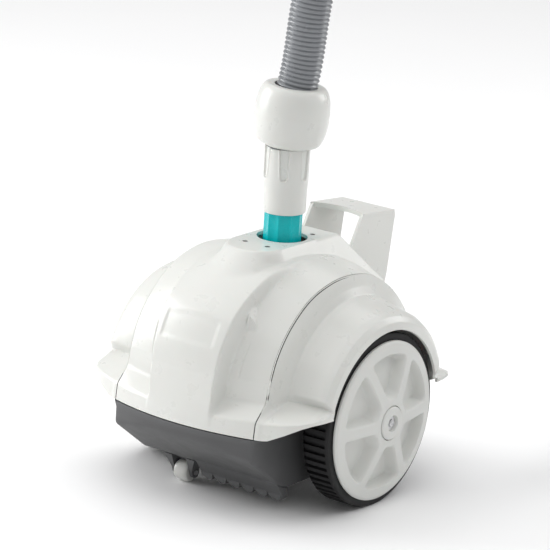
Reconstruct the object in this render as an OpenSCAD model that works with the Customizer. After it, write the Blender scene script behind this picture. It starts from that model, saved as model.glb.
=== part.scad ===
// Suction pool cleaner: two driven wheels, a turbine gear train, a domed cover and a swivelling hose.
// Frame: +Z up, front towards -Y, origin on the floor under the swivel, X along the wheel axle.

/* [Body] */
// Half width between the two cover seams
seam_x = 93.5; // [92:0.5:95]
// Half length of the body at the middle of the front and rear edges
body_half_l = 175; // [172:1:178]
// How much shorter the body is at the seams than at the middle
edge_bow = 15; // [12:1:18]
// Height of the joint between the cover and the lower chassis
split_z = 97; // [95:0.5:99]
// Height of the top boss around the hose swivel
boss_z = 272; // [270:1:276]
// Radius of the hole in the top boss
outlet_r = 28; // [27.5:0.5:28.5]
// Thickness of the boss top, which the cover screws sit in
boss_wall = 5.5; // [5.5:0.5:6.5]
// Wall thickness of the mouldings
wall = 3; // [2.5:0.5:3.5]

/* [Wheels] */
// Outer radius of the tyres, which is the height of the axle too
wheel_r = 97; // [95:1:98]
// Place of the axle along Y, measured from the swivel
axle_y = -2; // [-6:1:2]
// Inner face of each tyre
tyre_in_x = 112; // [111:1:114]
// Outer face of each tyre
tyre_out_x = 147; // [144:1:148]
// Radius of the white wheel disc inside the tyre
disc_r = 90; // [88:1:91]
// Outer face of each hub cap
hub_x = 164; // [162:1:166]
// Number of tread bars around each tyre
tread_count = 64; // [48:1:72]

/* [Drive] */
// Gear module
gear_m = 1.8; // [1.8:0.1:1.8]
// Teeth of each small gear
pinion_t = 11; // [11:1:11]
// Teeth of each large gear
wheel_t = 39; // [39:1:39]
// Radius of the turbine rotor
rotor_r = 32; // [30:1:33]
// Number of turbine blades
blade_count = 8; // [6:1:10]
// Radius of the drive axle
axle_r = 5; // [4.5:0.5:5]

/* [Front] */
// Radius of the front roller
roller_r = 12; // [11:0.5:13]
// Width of the front roller
roller_w = 18; // [16:1:20]
// Number of teeth on the intake comb
comb_count = 6; // [4:1:6]

/* [Hose] */
// Inner diameter of the hose
hose_bore = 38; // [38:1:38]
// Outer diameter of the hose
hose_od = 45; // [44:0.5:46]
// Radius of the float on the hose
float_r = 41; // [39:1:43]

/* [Hidden] */

fine = 96;
tiny = 0.01;
gap = 0.3;
run_fit = 0.05;
shell_white = [0.88, 0.88, 0.86];
dark_grey = [0.34, 0.34, 0.35];
teal = [0.0, 0.66, 0.68];
steel = [0.7, 0.7, 0.72];
tyre_black = [0.13, 0.13, 0.14];
nylon = [0.82, 0.82, 0.8];
hose_grey = [0.6, 0.62, 0.66];

axle_z = wheel_r;
centre_dist = gear_m * (pinion_t + wheel_t) / 2;
turbine_y = -62;
turbine_z = 108;
// The layshaft stands at one centre distance from both the turbine shaft and the axle
base_vec = [axle_y - turbine_y, axle_z - turbine_z];
base_len = norm(base_vec);
rise = sqrt(centre_dist * centre_dist - base_len * base_len / 4);
lay_y = turbine_y + base_vec[0] / 2 - rise * base_vec[1] / base_len;
lay_z = turbine_z + base_vec[1] / 2 + rise * base_vec[0] / base_len;
turbine_lay_angle = atan2(lay_z - turbine_z, lay_y - turbine_y);
lay_axle_angle = atan2(axle_z - lay_z, axle_y - lay_y);

lip_x = 152;
lip_r = wheel_r + 4;
roller_x = -46;
roller_y = -90;
comb_x0 = -8;
comb_pitch = 18.5;
chassis_z = 28;
screw_r = 1.5;
screw_head_h = 2.2;

// Boss screws sit in pairs in front of the swivel and behind it
boss_screw_xy = [[-15, -47], [15, -47], [-18, 32], [18, 32]];

swivel_r = 21.2;
flange_r = 26;
duct_top_z = 235;
connector_z = 301;
connector_top = 371.5;
hose_start_z = 341;

// Hose route: up out of the connector, over in an arch and down to the floor beside the cleaner
HOSE_ROUTE = [
    [0, 0, 341.2], [0.5, 0.4, 400], [8, 6, 466], [13, 9, 531], [21, 15, 594], [41, 30, 652],
    [76, 54, 700], [120, 86, 730], [171, 123, 740], [222, 159, 730], [268, 192, 699], [303, 217, 653],
    [324, 232, 594], [330, 236, 531], [330, 236, 467], [330, 236, 403], [330, 236, 340], [330, 236, 276],
    [329, 238, 212], [319, 251, 150], [300, 278, 96], [271, 318, 55], [237, 366, 32], [200, 417, 25],
    [163, 469, 25]
];

// ---------- points on curves and surfaces ----------

function entry(list, i) = list[max(0, min(len(list) - 1, i))];
function catmull(a, b, c, d, t) =
    (2 * b + (c - a) * t + (2 * a - 5 * b + 4 * c - d) * t * t + (3 * b - a - 3 * c + d) * t * t * t) / 2;
function along(list, u) =
    let (n = len(list) - 1, k = min(n - 1, floor(u * n)), t = u * n - k)
    catmull(entry(list, k - 1), entry(list, k), entry(list, k + 1), entry(list, k + 2), t);

// Body edge in plan: Y of the front edge at a given X
function edge_y(x) = body_half_l - edge_bow * x * x / (seam_x * seam_x);

// Side profile of the shell at the seam, from the front edge over the top to the rear edge, as [Y, Z]
function seam_profile() = [
    [-160, 97], [-158, 116], [-142, 133], [-138, 153], [-127, 182], [-106, 210],
    [-74, 234], [-36, 246], [0, 248], [38, 241], [75, 222], [104, 196],
    [126, 164], [140, 133], [158, 116], [160, 97]
];

// Crown of the shell: how far each station stands out at the middle of the body, as [Y, Z]
function crown() = [
    [-15, 0], [-14, -2], [-9, -4], [-11, 0], [-15, 2], [-16, 6],
    [-10, 12], [-3, 14], [0, 14], [4, 13], [10, 12], [14, 10],
    [12, 6], [9, 0], [15, 0], [15, 0]
];

// Nose: how far the raised middle panel stands in front of the crowned shell at each station
function nose() = [
    [0, 0], [-1, 1], [-20, 2], [-20, 3], [-19, 5], [-17, 9],
    [-9, 8], [-2, 3], [0, 0], [0, 0], [0, 0], [0, 0],
    [0, 0], [0, 0], [0, 0], [0, 0]
];

// Share of the crown and of the nose at a given X
nose_half_w = 41;
nose_wall_w = 8;
function crown_share(x) = 1 - x * x / (seam_x * seam_x);
function ramp(t) = let (c = max(0, min(1, t))) c * c * (3 - 2 * c);
function nose_share(x) = 1 - ramp((abs(x) - nose_half_w) / nose_wall_w);

function cover_point(u, x) =
    let (p = along(seam_profile(), u) + crown_share(x) * along(crown(), u) + nose_share(x) * along(nose(), u))
    [x, p[0], p[1]];

// Fender section beside the seam, as [X, radius about the axle at the ledges, radius at the top]
fender_outer = [
    [97, 127, 138], [103, 119, 129], [118, 118, 126], [132, 117, 123], [141, 115.5, 120], [148, 111, 114],
    [lip_x, lip_r, lip_r]
];
fender_inner = [
    [96, 123, 134], [101, 115.5, 125.5], [117, 114.5, 122.5], [130, 113.5, 119.5], [138.5, 112, 116.5],
    [145, 108, 111], [lip_x - 3, lip_r, lip_r]
];
// How much further out the fender stands behind the axle
rear_swell = 4;

// Front skirt of the fender at each section point: bottom edge, outer edge and inner corner, as [Y, Z]
skirt_bottom = [[-160, 97], [-159, 97], [-157, 97], [-151, 101], [-142, 110], [-132, 117], [-116, 119], [-98, 119]];
skirt_edge = [[-158, 116], [-157, 117], [-155, 118], [-149, 119], [-141, 120], [-131, 121], [-115, 122], [-98, 122]];
skirt_corner = [[-142, 133], [-129, 134], [-119, 135], [-116, 134], [-113, 133], [-109, 132], [-104, 129], [-97, 125]];

corner_u = 2 / 15;
function polar_angle(p) = atan2(p[1] - axle_z, p[0] - axle_y);
function flip_y(p, end) = [end * p[0], p[1]];
// Point of the fender above the skirts: column 0 is the seam, the others turn about the axle
function arch_point(j, w, section, inset) =
    let (
        base = along(seam_profile(), corner_u + w * (1 - 2 * corner_u)),
        a0 = polar_angle(flip_y(skirt_corner[j], 1)),
        a1 = polar_angle(flip_y(skirt_corner[j], -1)),
        share = (polar_angle(base) - polar_angle(skirt_corner[0]))
            / (polar_angle(flip_y(skirt_corner[0], -1)) - polar_angle(skirt_corner[0])),
        a = a0 + share * (a1 - a0),
        side = j == 0 || j == len(section) ? 0 : rear_swell * ramp(2 * share - 1) * ramp((1 - share) * 8),
        r = j == 0
            ? norm(base - [axle_y, axle_z]) - inset
            : section[j - 1][1] + (section[j - 1][2] - section[j - 1][1]) * sin(180 * share) + side
    )
    [axle_y + r * cos(a), axle_z + r * sin(a)];
function fender_row(i, rows, section, inset) = [
    for (j = [0 : len(section)])
        let (
            x = j == 0 ? seam_x + gap / 2 : section[j - 1][0],
            end = i < 2 ? 1 : -1,
            k = i < 2 ? i : rows - i,
            low = k == 0 ? skirt_bottom[j] : skirt_edge[j],
            p = i < 2 || i > rows - 2
                ? flip_y([low[0] + inset, low[1] - (k == 0 ? 0 : inset)], end)
                : arch_point(j, (i - 2) / (rows - 4), section, inset)
        )
        [x, p[0], p[1]]
];

// Closed shell between an outer and an inner grid of points
function grid_faces(rows, cols, offset, flip) = [
    for (i = [0 : rows - 2], j = [0 : cols - 2], half = [0, 1])
        let (
            a = offset + i * cols + j, b = a + 1, c = a + cols, d = c + 1,
            f = half == 0 ? [a, c, b] : [b, c, d]
        )
        flip ? [f[2], f[1], f[0]] : f
];
function rim_indices(rows, cols) = concat(
    [for (j = [0 : cols - 2]) j],
    [for (i = [0 : rows - 2]) i * cols + cols - 1],
    [for (j = [cols - 1 : -1 : 1]) (rows - 1) * cols + j],
    [for (i = [rows - 1 : -1 : 1]) i * cols]
);
module shell_solid(outer, inner) {
    rows = len(outer);
    cols = len(outer[0]);
    count = rows * cols;
    rim = rim_indices(rows, cols);
    m = len(rim);
    points = concat([for (row = outer) each row], [for (row = inner) each row]);
    strip = [
        for (k = [0 : m - 1], half = [0, 1])
            let (a = rim[k], b = rim[(k + 1) % m])
            half == 0 ? [a, b, a + count] : [b, b + count, a + count]
    ];
    polyhedron(
        points = points,
        faces = concat(grid_faces(rows, cols, 0, true), grid_faces(rows, cols, count, false), strip)
    );
}

module cover_shell() {
    rows = 45;
    half_cols = [0, 14, 28, 36, 41, 43.7, 46.3, 49, 60, 76, seam_x - gap / 2];
    xs = concat([for (i = [len(half_cols) - 1 : -1 : 1]) -half_cols[i]], half_cols);
    outer = [for (i = [0 : rows]) [for (x = xs) cover_point(i / rows, x)]];
    inner = [for (row = outer) [for (p = row)
        [p[0], p[1] * (1 - wall / body_half_l), split_z + (p[2] - split_z) * (1 - wall / (boss_z - split_z))]]];
    shell_solid(outer, inner);
}

module fender_shell() {
    rows = 46;
    shell_solid(
        [for (i = [0 : rows]) fender_row(i, rows, fender_outer, 0)],
        [for (i = [0 : rows]) fender_row(i, rows, fender_inner, wall)]
    );
}

// ---------- small helpers ----------

// Solid of revolution about an axis along X through [y, z]; profile is a list of [radius, x]
module turned_x(y, z, profile) {
    translate([0, y, z])
        rotate([90, 0, 90])
            rotate_extrude($fn = fine)
                polygon(profile);
}
module rod_x(x0, x1, y, z, r) {
    translate([x0, y, z])
        rotate([0, 90, 0])
            cylinder(h = x1 - x0, r = r, $fn = fine);
}
module ring_x(x0, x1, y, z, r_out, r_in) {
    difference() {
        rod_x(x0, x1, y, z, r_out);
        rod_x(x0 - 1, x1 + 1, y, z, r_in);
    }
}
module block(x, y, z) {
    translate([x[0], y[0], z[0]])
        cube([x[1] - x[0], y[1] - y[0], z[1] - z[0]]);
}
module tube_z(z0, z1, r_out, r_in) {
    translate([0, 0, z0])
        difference() {
            cylinder(h = z1 - z0, r = r_out, $fn = fine);
            translate([0, 0, -1])
                cylinder(h = z1 - z0 + 2, r = r_in, $fn = fine);
        }
}
// Pan head screw pointing down, head top at z
module screw_down(x, y, z, len, r) {
    translate([x, y, z - screw_head_h])
        cylinder(h = screw_head_h, r = r * 1.9, $fn = 32);
    translate([x, y, z - len])
        cylinder(h = len - 1, r = r, $fn = 32);
}
module screw_out(x, y, z, len, r, side) {
    translate([side * x, y, z])
        rotate([0, side * 90, 0])
            translate([0, 0, -len]) {
                cylinder(h = len, r = r, $fn = 32);
                translate([0, 0, len - tiny])
                    cylinder(h = 2, r = r * 1.9, $fn = 32);
            }
}

// Spur gear outline: straight flanked teeth, a tooth centred on angle zero
function gear_outline(t) =
    let (
        pitch_r = gear_m * t / 2,
        root_r = pitch_r - 1.15 * gear_m,
        tip_r = pitch_r + 0.8 * gear_m,
        pitch_a = 360 / t,
        root_a = pitch_a * 0.33,
        mid_a = pitch_a * 0.215,
        tip_a = pitch_a * 0.085
    )
    [for (i = [0 : t - 1], s = [[root_r, -root_a], [pitch_r, -mid_a], [tip_r, -tip_a],
                                [tip_r, tip_a], [pitch_r, mid_a], [root_r, root_a]])
        s[0] * [cos(i * pitch_a + s[1]), sin(i * pitch_a + s[1])]];
module gear_x(x0, x1, y, z, t, turn) {
    translate([x0, y, z])
        rotate([90, 0, 90])
            rotate([0, 0, turn])
                linear_extrude(height = x1 - x0)
                    polygon(gear_outline(t));
}

// ---------- lower chassis and intake ----------

function chassis_side(inset) = [
    [-body_half_l + inset, split_z], [-171 + inset, 84 + inset / 2], [-161 + inset, 73 + inset],
    [-106 + inset / 2, 32.5 + inset], [-94, chassis_z + inset], [94, chassis_z + inset],
    [106 - inset / 2, 32.5 + inset], [161 - inset, 73 + inset], [171 - inset, 84 + inset / 2],
    [body_half_l - inset, split_z]
];
module chassis_plan(inset) {
    xs = [for (i = [-8 : 8]) i / 8 * seam_x];
    k = (seam_x - inset) / seam_x;
    polygon(concat(
        [for (x = xs) [x * k, -edge_y(x) + inset]],
        [for (i = [len(xs) - 1 : -1 : 0]) [xs[i] * k, edge_y(xs[i]) - inset]]
    ));
}
module chassis_block(inset, lift) {
    intersection() {
        translate([0, 0, chassis_z])
            linear_extrude(height = split_z - chassis_z + lift)
                chassis_plan(inset);
        translate([-seam_x - 1, 0, 0])
            rotate([90, 0, 90])
                linear_extrude(height = 2 * seam_x + 2)
                    polygon(concat(
                        [[-body_half_l + inset, split_z + lift]], chassis_side(inset),
                        [[body_half_l - inset, split_z + lift]]
                    ));
    }
}
mouth_x = 46;
mouth_y = [-88, -36];
post_y = [132, 148];
module chassis_ribs() {
    for (side = [-1, 1]) {
        // Pillar that carries the axle bush
        block([side * 86.5 - 6, side * 86.5 + 6], [axle_y - 18, axle_y + 18], [chassis_z + wall - 1, 116]);
        // Posts that the fenders are screwed to
        for (end = [-1, 1])
            block([side * 86.75 - 6.75, side * 86.75 + 6.75],
                end < 0 ? [-post_y[1], -post_y[0]] : post_y, [58, 115]);
        // Ribs under the ballast weight
        block([side * 32 - 2, side * 32 + 2], [-138, -110], [36, 70]);
    }
}
module lower_chassis() {
    color(dark_grey)
        difference() {
            union() {
                difference() {
                    chassis_block(0, 0);
                    chassis_block(wall, 2);
                }
                intersection() {
                    chassis_ribs();
                    chassis_block(0, 30);
                }
            }
            rod_x(-seam_x - 5, seam_x + 5, axle_y, axle_z, axle_r + 4 + run_fit);
            block([-mouth_x, mouth_x], mouth_y, [chassis_z - 5, chassis_z + 20]);
            for (side = [-1, 1], end = [-1, 1])
                rod_x(side * 86 - 10, side * 86 + 10, end * (post_y[0] + post_y[1]) / 2, 107, screw_r + run_fit);
        }
}
module throat_loft(inset, z0, z1) {
    hull() {
        block([-mouth_x - 3 + inset, mouth_x + 3 - inset],
            [mouth_y[0] - 3 + inset, mouth_y[1] + 3 - inset], [z0, z0 + 2]);
        block([-27 + inset, 27 - inset], [-86 + inset, -45 - inset], [z1 - 2, z1]);
    }
}
module intake_throat() {
    color(dark_grey)
        difference() {
            throat_loft(0, chassis_z + wall, 86);
            throat_loft(wall, chassis_z + wall - 1, 90);
            rod_x(-60, 60, turbine_y, turbine_z, housing_r + gap);
        }
}
// Raked tooth, with its tip at X = 0
module comb_tooth() {
    rotate([90, 0, 0])
        linear_extrude(height = 8, center = true)
            polygon([[-9, 22], [6, 22], [6, 17], [4, 13.5], [1, 13], [-8, 16.5]]);
}
module intake_comb() {
    last_x = comb_x0 + (comb_count - 1) * comb_pitch;
    color(dark_grey) {
        translate([comb_x0 - 11, 0, 0])
            rotate([90, 0, 90])
                linear_extrude(height = last_x - comb_x0 + 19)
                    polygon([
                        [-90, chassis_z - tiny], [-94, chassis_z - tiny], [-106, 32.4], [-112, 36.8],
                        [-99, 20], [-99, 18], [-90, 18]
                    ]);
        for (i = [0 : comb_count - 1])
            translate([comb_x0 + i * comb_pitch, -94.5, 0])
                comb_tooth();
    }
}

// ---------- front roller ----------

strut_w = 4;
// Strut of the roller: narrow round the pin, wide at the chassis; inner face at X = 0
module roller_strut() {
    difference() {
        intersection() {
            union() {
                rod_x(0, 14, roller_y, roller_r, 6);
                rotate([90, 0, 90])
                    linear_extrude(height = 14)
                        polygon([
                            [roller_y - 5.8, roller_r - 1], [roller_y + 5.8, roller_r - 1],
                            [roller_y + 5.8, chassis_z - tiny], [roller_y - 4, chassis_z - tiny],
                            [roller_y - 14, 31]
                        ]);
            }
            translate([0, roller_y + 20, 0])
                rotate([90, 0, 0])
                    linear_extrude(height = 40)
                        polygon([[0, 0], [strut_w, 0], [strut_w, roller_r + 3], [12, 32], [0, 32]]);
        }
        rod_x(-1, strut_w + 20, roller_y, roller_r, 3 + run_fit);
    }
}
module roller_bracket() {
    half = roller_w / 2;
    color(dark_grey) {
        translate([roller_x + half + 1, 0, 0])
            roller_strut();
        translate([roller_x - half - 1, 0, 0])
            mirror([1, 0, 0])
                roller_strut();
        block([roller_x - half - 5, roller_x + half + 5], [roller_y - 4, roller_y + 5.8],
            [chassis_z - 2, chassis_z - tiny]);
    }
}
module roller_pin() {
    color(steel)
        rod_x(roller_x - roller_w / 2 - 6, roller_x + roller_w / 2 + 6, roller_y, roller_r, 3);
}
module front_roller() {
    half = roller_w / 2;
    color("white")
        turned_x(roller_y, roller_r, [
            [3 + run_fit, roller_x - half], [roller_r - 2, roller_x - half], [roller_r, roller_x - half + 2],
            [roller_r, roller_x + half - 2], [roller_r - 2, roller_x + half], [3 + run_fit, roller_x + half]
        ]);
}

// ---------- cover, fenders and handle ----------

// Boss on the cover: a flat top that slopes down to the shell, round in front and square behind
module boss_form(inset) {
    top = boss_z - inset;
    hull() {
        translate([0, -45, top - 1])
            cylinder(h = 1, r = 34 - inset, $fn = 32);
        translate([0, -68, 236 - inset])
            cylinder(h = 1, r = 54 - inset, $fn = 32);
        for (side = [-1, 1]) {
            translate([side * 28, 51, top - 1])
                cylinder(h = 1, r = 6 - inset, $fn = 16);
            translate([side * 38, 100, 212 - inset])
                cylinder(h = 1, r = 6 - inset, $fn = 16);
        }
    }
}
module centre_cover() {
    recess = screw_head_h + 0.8;
    color(shell_white)
        difference() {
            union() {
                cover_shell();
                boss_form(0);
            }
            boss_form(boss_wall);
            translate([0, 0, boss_z - 40])
                cylinder(h = 60, r = outlet_r, $fn = fine);
            for (p = boss_screw_xy)
                translate([p[0], p[1], boss_z - recess]) {
                    cylinder(h = recess + 1, r = screw_r * 2.2, $fn = 32);
                    translate([0, 0, -10])
                        cylinder(h = 20, r = screw_r + run_fit, $fn = 32);
                }
        }
}
module fender_lug(end) {
    y = end < 0 ? [-post_y[1], -post_y[0]] : post_y;
    difference() {
        block([seam_x, seam_x + 4.5], y, [99, 131]);
        rod_x(seam_x - 1, seam_x + 6, (y[0] + y[1]) / 2, 107, screw_r + run_fit);
    }
}
module fender() {
    fender_shell();
    fender_lug(-1);
    fender_lug(1);
}
module right_fender() {
    color(shell_white)
        fender();
}
module left_fender() {
    color(shell_white)
        mirror([1, 0, 0])
            fender();
}
handle_x = 36;
handle_leg = 3.5;
module rear_handle() {
    color(shell_white)
        translate([-handle_x, 0, 0])
            rotate([90, 0, 90])
                difference() {
                    linear_extrude(height = 2 * handle_x)
                        polygon([
                            [69, 228], [98, 281], [102, 286], [161, 282], [165, 277], [156, 204],
                            [150, 180], [134, 164], [114, 199.5], [98, 216]
                        ]);
                    translate([0, 0, handle_leg])
                        linear_extrude(height = 2 * (handle_x - handle_leg))
                            polygon([[40, 100], [60, 228], [92, 278.5], [180, 272.5], [180, 100]]);
                }
}
module cover_screws() {
    color(steel)
        for (p = boss_screw_xy)
            screw_down(p[0], p[1], boss_z - 0.5, 18, screw_r);
}
module fender_screws() {
    color(steel)
        for (side = [-1, 1], end = [-1, 1])
            screw_out(seam_x + 4.5 + tiny, end * (post_y[0] + post_y[1]) / 2, 107, 15, screw_r, side);
}

// ---------- turbine and water path ----------

housing_r = rotor_r + 7;
housing_x = 31;
housing_wall = 3;
module housing_body() {
    difference() {
        rod_x(-housing_x, housing_x, turbine_y, turbine_z, housing_r);
        rod_x(-housing_x + housing_wall, housing_x - housing_wall, turbine_y, turbine_z, housing_r - housing_wall);
        rod_x(-housing_x - 1, housing_x + 1, turbine_y, turbine_z, 3 + run_fit);
    }
}
flange_screws = [[-24, -104], [24, -104], [-24, -20], [24, -20]];
module housing_flange(z0, z1) {
    difference() {
        block([-housing_x, housing_x], [turbine_y - housing_r - 7, turbine_y + housing_r + 7], [z0, z1]);
        rod_x(-housing_x + housing_wall, housing_x - housing_wall, turbine_y, turbine_z, housing_r - housing_wall);
        rod_x(-housing_x - 1, housing_x + 1, turbine_y, turbine_z, 3 + run_fit);
        for (p = flange_screws)
            translate([p[0], p[1], z0 - 1])
                cylinder(h = z1 - z0 + 2, r = screw_r + run_fit, $fn = 32);
    }
}
module turbine_housing_lower() {
    color(dark_grey) {
        difference() {
            housing_body();
            block([-50, 50], [-120, 0], [turbine_z, turbine_z + 60]);
            block([-24, 24], [-84, -44], [60, turbine_z - 22]);
        }
        housing_flange(turbine_z - 4, turbine_z);
    }
}
module turbine_housing_upper() {
    color(dark_grey) {
        difference() {
            housing_body();
            block([-50, 50], [-120, 0], [turbine_z - 60, turbine_z]);
            block([-20, 20], [-56, -26], [turbine_z + 18, 160]);
        }
        housing_flange(turbine_z, turbine_z + 4);
    }
}
module housing_screws() {
    color(steel)
        for (p = flange_screws)
            screw_down(p[0], p[1], turbine_z + 4 + screw_head_h + tiny, 10, screw_r);
}
duct_r = 26.2;
module duct_loft(inset, extra) {
    hull() {
        block([-25 + inset, 25 - inset], [-60 + inset, -20 - inset], [128, 130]);
        translate([0, 0, 186])
            cylinder(h = 5 + extra, r = duct_r - 0.7 - inset, $fn = 32);
    }
}
module outlet_duct() {
    color(dark_grey)
        difference() {
            union() {
                duct_loft(0, 0);
                translate([0, 0, 184])
                    cylinder(h = duct_top_z - 184, r = duct_r, $fn = fine);
                translate([0, 0, 224])
                    cylinder(h = 4, r = 34, $fn = fine);
            }
            duct_loft(3.5, 2);
            translate([0, 0, 188])
                cylinder(h = 60, r = 22.5, $fn = fine);
            rod_x(-60, 60, turbine_y, turbine_z, housing_r + gap);
        }
}
module turbine_rotor() {
    color(nylon)
        difference() {
            union() {
                rod_x(-25, 25, turbine_y, turbine_z, 8);
                for (i = [0 : blade_count - 1])
                    translate([0, turbine_y, turbine_z])
                        rotate([i * 360 / blade_count, 0, 0])
                            translate([-25, -1, 7])
                                cube([50, 2, rotor_r - 7]);
            }
            rod_x(-30, 30, turbine_y, turbine_z, 3 + run_fit);
        }
}

// ---------- gear train ----------

gear_a_x = [-44, -36];
gear_b_x = [-59, -47];
module turbine_shaft() {
    color(steel) {
        rod_x(-63, 36, turbine_y, turbine_z, 3);
        gear_x(gear_a_x[0] - 1, gear_a_x[1] + 1, turbine_y, turbine_z, pinion_t, turbine_lay_angle);
    }
}
module layshaft_gear() {
    color(nylon)
        difference() {
            union() {
                gear_x(gear_a_x[0], gear_a_x[1], lay_y, lay_z, wheel_t, turbine_lay_angle + 180 + 180 / wheel_t);
                gear_x(gear_b_x[0] - 1, gear_a_x[0] + tiny, lay_y, lay_z, pinion_t, lay_axle_angle);
            }
            rod_x(gear_b_x[0] - 2, gear_a_x[1] + 2, lay_y, lay_z, 3 + run_fit);
        }
}
module axle_gear() {
    color(nylon)
        difference() {
            gear_x(gear_b_x[0], gear_b_x[1], axle_y, axle_z, wheel_t, lay_axle_angle + 180 + 180 / wheel_t);
            rod_x(gear_b_x[0] - 2, gear_b_x[1] + 2, axle_y, axle_z, axle_r + run_fit);
        }
}
module layshaft_pin() {
    color(steel)
        rod_x(-63, -33, lay_y, lay_z, 3);
}
ears = [[-2, 51], [43, 108], [-28, 181], [-82, 112]];
module gearbox_outline(inset) {
    hull() {
        translate([turbine_y, turbine_z])
            circle(r = 16 - inset, $fn = 48);
        translate([lay_y, lay_z])
            circle(r = 43 - inset, $fn = 48);
        translate([axle_y, axle_z])
            circle(r = 43 - inset, $fn = 48);
    }
}
module gearbox_plate(x0, x1, inset) {
    translate([x0, 0, 0])
        rotate([90, 0, 90])
            linear_extrude(height = x1 - x0)
                gearbox_outline(inset);
}
module gearbox_ears(x0, x1) {
    for (p = ears)
        rod_x(x0, x1, p[0], p[1], 5);
}
module gearbox_bores(axle_bore) {
    rod_x(-70, -30, turbine_y, turbine_z, 3 + run_fit);
    rod_x(-70, -30, lay_y, lay_z, 3 + run_fit);
    rod_x(-70, -30, axle_y, axle_z, axle_bore);
    for (p = ears)
        rod_x(-70, -45, p[0], p[1], screw_r + run_fit);
}
module gearbox_case() {
    color(nylon)
        difference() {
            union() {
                gearbox_plate(-61, -32, 0);
                gearbox_ears(-61, -32);
            }
            gearbox_plate(-70, -34.5, 2.5);
            gearbox_bores(axle_r + 1);
        }
}
module gearbox_cover() {
    color(nylon)
        difference() {
            union() {
                gearbox_plate(-64, -61, 0);
                gearbox_ears(-64, -61);
            }
            gearbox_bores(axle_r + 1);
        }
}
module gearbox_screws() {
    color(steel)
        for (p = ears)
            screw_out(64 + tiny, p[0], p[1], 14, screw_r, -1);
}

// ---------- axle and wheels ----------

module drive_axle() {
    color(steel)
        difference() {
            rod_x(-157, 157, axle_y, axle_z, axle_r);
            for (side = [-1, 1])
                rod_x(side * 150 - 10, side * 150 + 10, axle_y, axle_z, 2.5);
        }
}
module axle_bush() {
    difference() {
        union() {
            rod_x(79, seam_x + tiny, axle_y, axle_z, axle_r + 4);
            rod_x(seam_x, seam_x + 2, axle_y, axle_z, axle_r + 8);
        }
        rod_x(70, 100, axle_y, axle_z, axle_r + run_fit);
    }
}
module axle_bushes() {
    color(nylon) {
        axle_bush();
        mirror([1, 0, 0])
            axle_bush();
    }
}
pocket_count = 6;
hub_r = 18.6;
hub_seat_x = 158;
module wheel_pocket() {
    half = 24;
    arc = [for (a = [-half : half / 4 : half]) a];
    linear_extrude(height = 20)
        polygon(concat(
            [for (a = arc) 72 * [cos(a), sin(a)]],
            [for (i = [len(arc) - 1 : -1 : 0]) 32 * [cos(arc[i] * 0.72), sin(arc[i] * 0.72)]]
        ));
}
module wheel() {
    difference() {
        turned_x(axle_y, axle_z, [
            [axle_r + run_fit, 100], [14, 100], [14, 141], [82, 141], [82, 114], [86, 114], [86, tyre_out_x + gap],
            [disc_r, tyre_out_x + gap], [disc_r, 152], [disc_r - 2, 154], [76, 155.5], [30, 160],
            [hub_r + gap, 161.5], [hub_r + gap, hub_seat_x], [axle_r + run_fit, hub_seat_x]
        ]);
        for (i = [0 : pocket_count - 1])
            translate([145, axle_y, axle_z])
                rotate([90, 0, 90])
                    rotate([0, 0, (i + 0.5) * 360 / pocket_count])
                        wheel_pocket();
    }
}
module right_wheel() {
    color("white")
        wheel();
}
module left_wheel() {
    color("white")
        mirror([1, 0, 0])
            wheel();
}
// Rubber tyre: bars across most of its width and a plain outer shoulder
module tyre() {
    w0 = tyre_in_x;
    w1 = tyre_out_x;
    groove_w = 4.4;
    groove_depth = 2.5;
    shoulder = 5.5;
    difference() {
        turned_x(axle_y, axle_z, [
            [86 + run_fit, w0], [wheel_r - 4, w0], [wheel_r - 1, w0 + 2], [wheel_r, w0 + 5],
            [wheel_r, w1 - 5], [wheel_r - 1, w1 - 2], [wheel_r - 4, w1], [86 + run_fit, w1]
        ]);
        for (i = [0 : tread_count - 1])
            translate([w0 - 1, axle_y, axle_z])
                rotate([(i + 0.5) * 360 / tread_count, 0, 0])
                    translate([0, -groove_w / 2, wheel_r - groove_depth])
                        cube([w1 - w0 + 1 - shoulder, groove_w, 6]);
    }
}
module right_tyre() {
    color(tyre_black)
        tyre();
}
module left_tyre() {
    color(tyre_black)
        mirror([1, 0, 0])
            tyre();
}
module hub_cap() {
    turned_x(axle_y, axle_z, [
        [2.6, hub_seat_x + tiny], [hub_r, hub_seat_x + tiny], [hub_r, hub_x - 1.5], [hub_r - 1.5, hub_x],
        [8, hub_x], [8, 160.5], [2.6, 160.5]
    ]);
}
module hub_caps() {
    color("white") {
        hub_cap();
        mirror([1, 0, 0])
            hub_cap();
    }
}
module hub_screw() {
    turned_x(axle_y, axle_z, [[0, 142], [2.45, 142], [2.45, 160.6], [5, 160.6], [5, 162.6], [4, 163.4], [0, 163.4]]);
}
module hub_screws() {
    color(steel) {
        hub_screw();
        mirror([1, 0, 0])
            hub_screw();
    }
}

// ---------- weight and foam ----------

module ballast_weight() {
    color(steel)
        block([-45, 45], [-138, -112], [70, 82]);
}
module buoyancy_foam() {
    color("ivory")
        block([-58, 58], [50, 108], [128, 168]);
}

// ---------- swivel, connector and float ----------

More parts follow.
